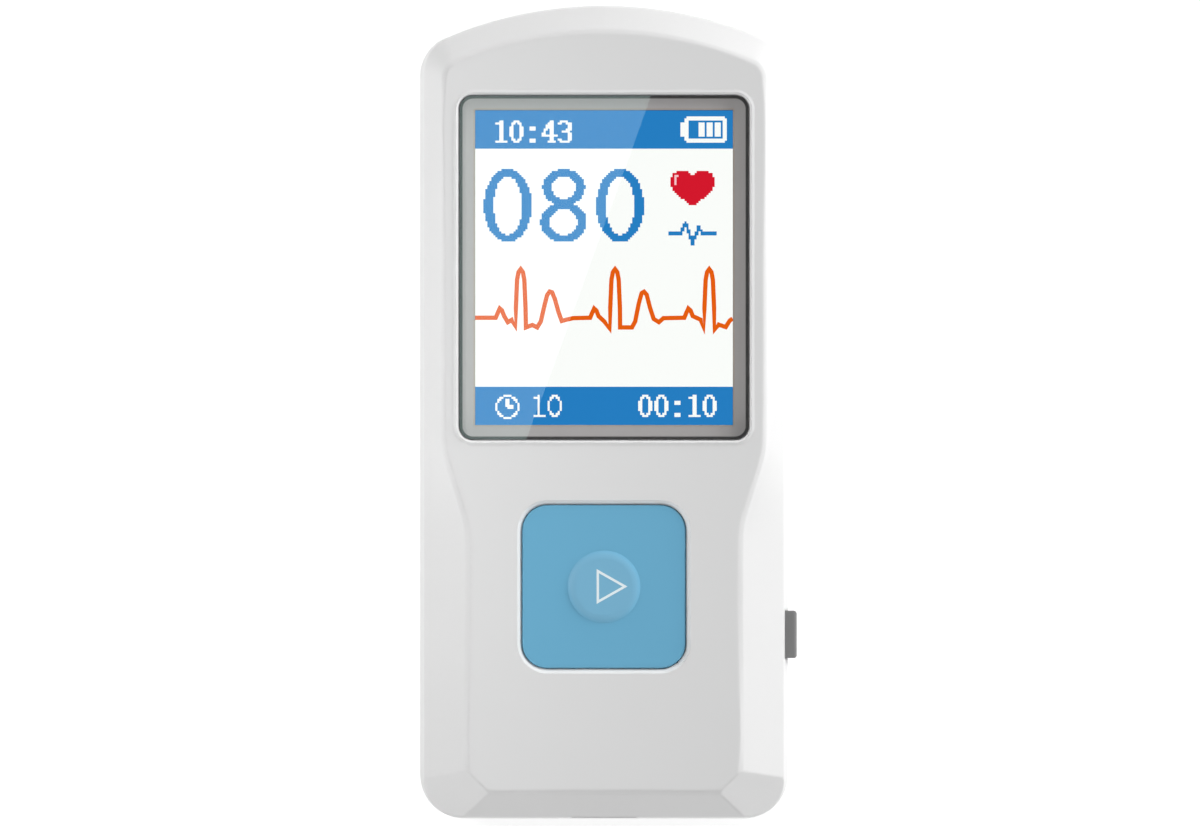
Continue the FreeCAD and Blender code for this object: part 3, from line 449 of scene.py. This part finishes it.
def make_picture():
    """Everything that the display shows, on the glass behind the window."""
    blue, digit_blue = linear(38, 126, 194), linear(40, 128, 196)
    white, red, orange = linear(253, 255, 252), linear(213, 25, 45), linear(230, 94, 16)
    everywhere = block(0, picture_columns, 0, picture_rows)
    bars = everywhere - block(0, picture_columns, bar_rows, picture_rows - bar_rows)
    big_digits = set().union(
        ring(16.2, 47.2, 11.9, 18.2, 4.9, 3.7), ring(72.0, 47.2, 11.9, 18.2, 4.9, 3.7),
        ring(44.0, 38.2, 10.6, 9.2, 4.8, 3.6), ring(43.9, 55.4, 11.6, 10.0, 4.8, 3.6))
    upper_text, lower_text = 5, 141
    on_bars = set().union(
        clock_text("10:43", 9, upper_text), battery_symbol(), clock_symbol(),
        clock_text("10", 28, lower_text, pen=1.0), clock_text("00:10", 81, lower_text))
    heart = block(96, 120, 28, 50, heart_shape)
    shine = stroke([(99.7, 36.6), (99.1, 34.8), (99.7, 33), (101, 32)], 1.1)
    pulse = stroke([(97, 61), (102, 61), (104.5, 55.5), (108, 66), (111, 58), (113, 61), (119, 61)], 1.7)
    coats = [
        ("picture_ground", everywhere, 0, white), ("picture_bars", bars, 1, blue),
        ("picture_rate_digits", big_digits, 1, digit_blue), ("picture_bar_symbols", on_bars, 2, white),
        ("picture_heart", heart, 1, red), ("picture_heart_shine", shine, 2, linear(250, 200, 205)),
        ("picture_pulse_sign", pulse, 1, blue)]
    for name, cells, level, colour in coats:
        finish_piece(pixel_solid(name, cells, level), glowing(name, colour))
    finish_piece(make_trace(), glowing("picture_trace", orange))


def make_trace():
    """Heart trace of three beats as a thin flat line; x is counted from each beat's peak."""
    base = 102.8
    spike = [(-2.4, 98.0), (-1.8, 84.0), (-1.1, 80.2), (0.0, 78.7), (1.1, 80.2), (1.8, 84.0), (2.4, 98.0)]
    rise = [(-12.4, base), (-11.4, 100.4), (-10.4, 98.2), (-9.3, 99.2), (-8.2, 102.0)]
    beats = [
        (22.6, [(-6.4, 105.0), (-4.4, 103.8), (-2.5, 107.4)],
         [(2.6, 107.6), (5.8, 106.4), (8.2, 107.6), (10.0, 104.6), (11.7, 97.2), (13.1, 91.6), (14.4, 89.8),
          (15.6, 90.2), (17.0, 93.6), (18.8, 100.0), (20.4, 104.4), (22.6, 103.8), (26.0, 103.0)]),
        (69.5, [(-5.2, 104.8), (-2.6, 108.4)],
         [(2.5, 107.6), (8.4, 107.6), (10.0, 104.6), (11.8, 95.6), (13.2, 90.6), (14.4, 89.9), (15.7, 91.4),
          (17.4, 98.0), (19.2, 103.4), (21.8, 105.0), (24.0, 103.0)]),
        (116.3, [(-4.2, 103.8), (-2.6, 108.8)],
         [(2.6, 108.8), (4.6, 106.2), (8.2, 107.4), (10.2, 104.2), (11.6, 103.2)]),
    ]
    pen = 2.2
    points = [(0, base)]
    for peak, dip, recovery in beats:
        points += [(peak + x, y) for x, y in rise + dip + spike + recovery]
    return ribbon("picture_trace", [Vector(picture_point(*p)) for p in points], pen * picture_pixel, 1)


def ribbon(name, points, width, level):
    """Flat line of one width through the points, mitred at its bends."""
    bottom = glass_top + level * layer
    sharpest = 0.45                 # keeps the mitre of a sharp bend short
    mesh = bmesh.new()
    stations = []
    for index, point in enumerate(points):
        before = (point - points[index - 1]).normalized() if index else None
        after = (points[index + 1] - point).normalized() if index + 1 < len(points) else None
        ahead = ((before or after) + (after or before)).normalized()
        square = after or before
        across = Vector((-ahead.y, ahead.x))
        share = max(sharpest, abs(across.dot(Vector((-square.y, square.x)))))
        side = across * (width / 2 / share)
        stations.append([
            mesh.verts.new((*(point + side * a), bottom + layer * b))
            for a, b in ((1, 0), (-1, 0), (-1, 1), (1, 1))])
    for first, second in zip(stations, stations[1:]):
        for index in range(len(first)):
            following = (index + 1) % len(first)
            mesh.faces.new([first[index], first[following], second[following], second[index]])
    mesh.faces.new(list(reversed(stations[0])))
    mesh.faces.new(stations[-1])
    bmesh.ops.recalc_face_normals(mesh, faces=mesh.faces[:])
    return mesh_object(name, mesh)


def finish_piece(piece, shader, body="housing"):
    """Material, slot and body of a new piece."""
    piece.data.materials.append(shader.material)
    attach(piece, body)


# ---- Play sign on the start key ----
def make_play_sign():
    """Printed triangle outline on the raised centre of the start key."""
    low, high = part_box("main_key")
    centre_y = (low.y + high.y) / 2
    pen = 0.3 * MM
    sunk, proud = 0.02 * MM, 0.004 * MM
    offsets = [(-0.76 * MM, 1.92 * MM), (-0.76 * MM, -1.84 * MM), (2.56 * MM, 0.04 * MM)]
    corners = [Vector((x, centre_y + y)) for x, y in offsets]
    mesh = bmesh.new()
    rings = []
    for share in (1, -1):
        ring_points = []
        for index, corner in enumerate(corners):
            to_last = (corners[index - 1] - corner).normalized()
            to_next = (corners[(index + 1) % len(corners)] - corner).normalized()
            half_angle = to_last.angle(to_next) / 2
            outward = -(to_last + to_next).normalized()
            ring_points.append(corner + outward * (share * pen / 2 / math.sin(half_angle)))
        rings.append(ring_points)
    levels = [high.z - sunk, high.z + proud]
    verts = [[[mesh.verts.new((p.x, p.y, z)) for p in ring_points] for ring_points in rings] for z in levels]
    (outer_low, inner_low), (outer_high, inner_high) = verts
    sides = [
        (outer_low, outer_high), (inner_low, inner_high),
        (outer_high, inner_high), (outer_low, inner_low)]
    for index in range(len(corners)):
        following = (index + 1) % len(corners)
        for a, b in sides:
            mesh.faces.new([a[index], a[following], b[following], b[index]])
    bmesh.ops.recalc_face_normals(mesh, faces=mesh.faces[:])
    paint = moulded_plastic("play_sign_white", linear(240, 251, 255), variation=0.01)
    finish_piece(mesh_object("play_sign", mesh), paint, "start_key")


# ---- Finishes of the CAD nodes ----
def node_finishes():
    """Shader of each CAD node."""
    white = shell_plastic("housing_white", roughness=0.36)
    rear_white = shell_plastic("housing_rear_white", roughness=0.4)
    steel = metal("electrode_steel", (0.7, 0.69, 0.675), roughness=0.3, stretch=(0.03, 1, 1))
    can = metal("can_steel", (0.66, 0.66, 0.67), roughness=0.35)
    screws = metal("screw_steel", (0.55, 0.55, 0.56), roughness=0.3, line=0.2 * MM)
    board = circuit_board("board_green")
    black = moulded_plastic("switch_black", (0.02, 0.02, 0.021), roughness=0.5)
    seals = soft_sheet("seal_black", (0.03, 0.03, 0.03))
    foam = soft_sheet("foam_grey", (0.1, 0.1, 0.1), cell=0.5 * MM)
    ivory = moulded_plastic("connector_ivory", (0.72, 0.68, 0.56), roughness=0.5)
    plunger = moulded_plastic("plunger_white", (0.75, 0.75, 0.74), roughness=0.45)
    return {
        "front_shell": white, "rear_shell": rear_white,
        "screen_window": clear_window("window_clear"),
        "window_mask": printed_border("border_grey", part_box("window_mask")),
        "window_adhesive": soft_sheet("adhesive_black", (0.02, 0.02, 0.02)),
        "lcd_gasket": foam, "battery_foam": foam,
        "lcd_cell": bare_glass("display_glass"),
        "lcd_backlight": moulded_plastic("backlight_white", (0.8, 0.8, 0.79), roughness=0.3),
        "lcd_holder": moulded_plastic("holder_black", (0.03, 0.03, 0.03), roughness=0.5),
        "lcd_flex": moulded_plastic("flex_amber", (0.45, 0.2, 0.03), roughness=0.25, depth=0.001 * MM),
        "flex_connector": ivory, "battery_connector": ivory,
        "main_board": board,
        "processor_chips": moulded_plastic("chip_black", (0.025, 0.025, 0.027), roughness=0.45),
        "shield_can": can, "electrode_clips": can,
        "board_passives": moulded_plastic("passive_tan", (0.35, 0.25, 0.16), roughness=0.5),
        # The second key colour is the painted highlight on the raised centre.
        "main_key": key_with_painted_lit_centre("key_blue", linear(110, 179, 213), linear(124, 184, 215), radius=4.3 * MM),
        "main_switch_body": black, "side_switch_body": black,
        "main_switch_plunger": plunger, "side_switch_plunger": plunger,
        "side_key": moulded_plastic("key_grey", linear(136, 136, 136), roughness=0.5),
        "usb_shell": metal("port_steel", (0.7, 0.7, 0.7), roughness=0.22, stretch=(1, 0.05, 1)),
        "usb_tongue": moulded_plastic("port_black", (0.02, 0.02, 0.02), roughness=0.5),
        "battery_cell": metal("battery_foil", (0.78, 0.78, 0.79), roughness=0.35,
                              line=0.6 * MM, depth=0.01 * MM),
        "battery_lead_red": moulded_plastic("lead_red", (0.55, 0.02, 0.02), roughness=0.4),
        "battery_lead_black": moulded_plastic("lead_black", (0.02, 0.02, 0.02), roughness=0.4),
        "electrode_upper": steel, "electrode_lower_left": steel, "electrode_lower_right": steel,
        "electrode_seals": seals,
        "electrode_springs": metal("spring_brass", (0.8, 0.6, 0.3), roughness=0.25, stretch=(1, 0.05, 1)),
        "housing_screws": screws, "board_screws": screws,
    }


def finish_nodes():
    """Puts each CAD node's finish in place of its packed one."""
    for name, shader in node_finishes().items():
        for material_slot in nodes[name].material_slots:
            material_slot.material = shader.material


# ---- Studio ----
photo_width = 1200
photo_height = 826
photo_scale = 0.1230 * MM       # of one picture pixel at the object
photo_centre = (604.0, 412.0)   # where the middle of the monitor falls in the picture
camera_height = 1.0
sensor_width = 36.0             # mm, as Blender counts sensors and lenses
shoulder = 10.4 * MM            # height at which the photograph's scale holds


def make_camera():
    """Looks straight down on the face, with the screen end up."""
    data = bpy.data.cameras.new("camera")
    data.sensor_fit = "HORIZONTAL"
    data.sensor_width = sensor_width
    data.lens = sensor_width * (camera_height - shoulder) / (photo_width * photo_scale)
    made = bpy.data.objects.new("camera", data)
    x = (photo_width / 2 - photo_centre[0]) * photo_scale
    y = (photo_centre[1] - photo_height / 2) * photo_scale
    made.location = (x, y, camera_height)
    bpy.context.scene.collection.objects.link(made)
    bpy.context.scene.camera = made


def studio_place(azimuth, elevation, distance):
    """Point at an angle round from +X, an angle above the floor and a distance from the monitor."""
    turn, rise = math.radians(azimuth), math.radians(elevation)
    out = math.cos(rise)
    return Vector((math.cos(turn) * out, math.sin(turn) * out, math.sin(rise))) * distance


def softbox(name, place, size, watts):
    """Soft lamp that points at the monitor and isn't itself seen, in mirrors or through the window either."""
    data = bpy.data.lights.new(name, "AREA")
    data.shape = "RECTANGLE"
    data.size, data.size_y = size
    data.energy = watts
    made = bpy.data.objects.new(name, data)
    made.location = place
    aim = Vector((0, 0, 10 * MM))
    made.rotation_euler = (aim - place).to_track_quat("-Z", "Y").to_euler()
    made.visible_camera = made.visible_glossy = made.visible_transmission = False
    bpy.context.scene.collection.objects.link(made)


def make_lights():
    """Low lamps all round model the facets; the small near one makes the face fall off towards the right."""
    far, broad = 0.6, (0.3, 0.2)
    near, small = 0.16, (0.06, 0.06)
    lamps = [
        ("right", 0, 15, far, broad, 1.26), ("upper_right", 40, 15, far, broad, 3.08),
        ("upper_left", 150, 15, far, broad, 1.2), ("lower", 270, 20, far, broad, 1.38),
        ("near_left", 180, 50, near, small, 0.098)]
    for name, azimuth, elevation, distance, size, watts in lamps:
        softbox(name, studio_place(azimuth, elevation, distance), size, watts)


def make_flags():
    """Cards above the camera that only mirrors show: a lit one, and a dark one right of a slanting edge."""
    height = camera_height + 0.06
    half = 0.12
    glare_tint, glare = (0.72, 1, 0.95, 1), 1.4
    mirror_spread = 2               # the mirrored ray lands about twice as far out as it meets the window
    upper = Vector((5.8 * MM, 38.8 * MM)) * mirror_spread
    lower = Vector((-9.5 * MM, -3.3 * MM)) * mirror_spread
    run = (upper - lower).normalized() * half
    middle = (upper + lower) / 2
    right = Vector((run.y, -run.x))
    for name, side, strength in (("glare_card", -1, glare), ("dark_flag", 1, 0.0)):
        across = right * side
        corners = [middle - run, middle + run, middle + run + across, middle - run + across]
        mesh = bmesh.new()
        mesh.faces.new([mesh.verts.new((c.x, c.y, height)) for c in corners])
        card = mesh_object(name, mesh)
        s = Shader(name)
        s.set(Base_Color=(0, 0, 0, 1), Specular_IOR_Level=0.0)
        s.set(Emission_Color=glare_tint, Emission_Strength=strength)
        card.data.materials.append(s.material)
        card.visible_camera = card.visible_diffuse = card.visible_shadow = False


def sees_white(tree):
    """1 for rays that see the background itself, mirrored or through glass; 0 for light on a matt surface."""
    path = tree.nodes.new("ShaderNodeLightPath")
    source = path.outputs["Is Camera Ray"]
    steps = [("MAXIMUM", "Is Glossy Ray"), ("MAXIMUM", "Is Transmission Ray"), ("LESS_THAN", "Diffuse Depth")]
    for operation, kind in steps:
        step = tree.nodes.new("ShaderNodeMath")
        step.operation = operation
        tree.links.new(path.outputs[kind], step.inputs[0])
        tree.links.new(source, step.inputs[1])
        source = step.outputs["Value"]
    return source


def make_world():
    """Even white surroundings that light the monitor only weakly."""
    seen, lighting = 1.0, 0.06
    world = bpy.data.worlds.new("studio")
    bpy.context.scene.world = world
    world.use_nodes = True
    tree = world.node_tree
    background = tree.nodes["Background"]
    background.inputs["Color"].default_value = (1, 1, 1, 1)
    strength = tree.nodes.new("ShaderNodeMapRange")
    strength.inputs["To Min"].default_value = lighting
    strength.inputs["To Max"].default_value = seen
    tree.links.new(sees_white(tree), strength.inputs["Value"])
    tree.links.new(strength.outputs["Result"], background.inputs["Strength"])


def make_floor():
    """Plain pale floor that keeps a faint shadow and reads as white round the monitor."""
    half = 3.0
    near_glow, far_glow = 0.75, 1.0     # the lamps light the floor less and less further out
    near, far = 0.15, 0.5
    mesh = bmesh.new()
    corners = [(-half, -half), (half, -half), (half, half), (-half, half)]
    mesh.faces.new([mesh.verts.new((x, y, 0)) for x, y in corners])
    floor = mesh_object("floor", mesh)
    s = Shader("floor_white")
    s.set(Base_Color=s.mix(s.noise(0.4, detail=3), (0.54, 0.54, 0.54), (0.56, 0.56, 0.56)))
    s.set(Roughness=0.9, Specular_IOR_Level=0.0, Emission_Color=(1, 1, 1, 1))
    from_middle = box_distance(s, Vector(), Vector(), 0)
    glow = s.span(from_middle, near_glow, far_glow, start=near, end=far)
    s.set(Emission_Strength=s.times(sees_white(s.tree), glow))
    floor.data.materials.append(s.material)


bpy.context.scene.view_settings.view_transform = "Standard"
make_camera()
make_lights()
make_flags()
make_world()
make_floor()
finish_nodes()
make_picture()
make_play_sign()
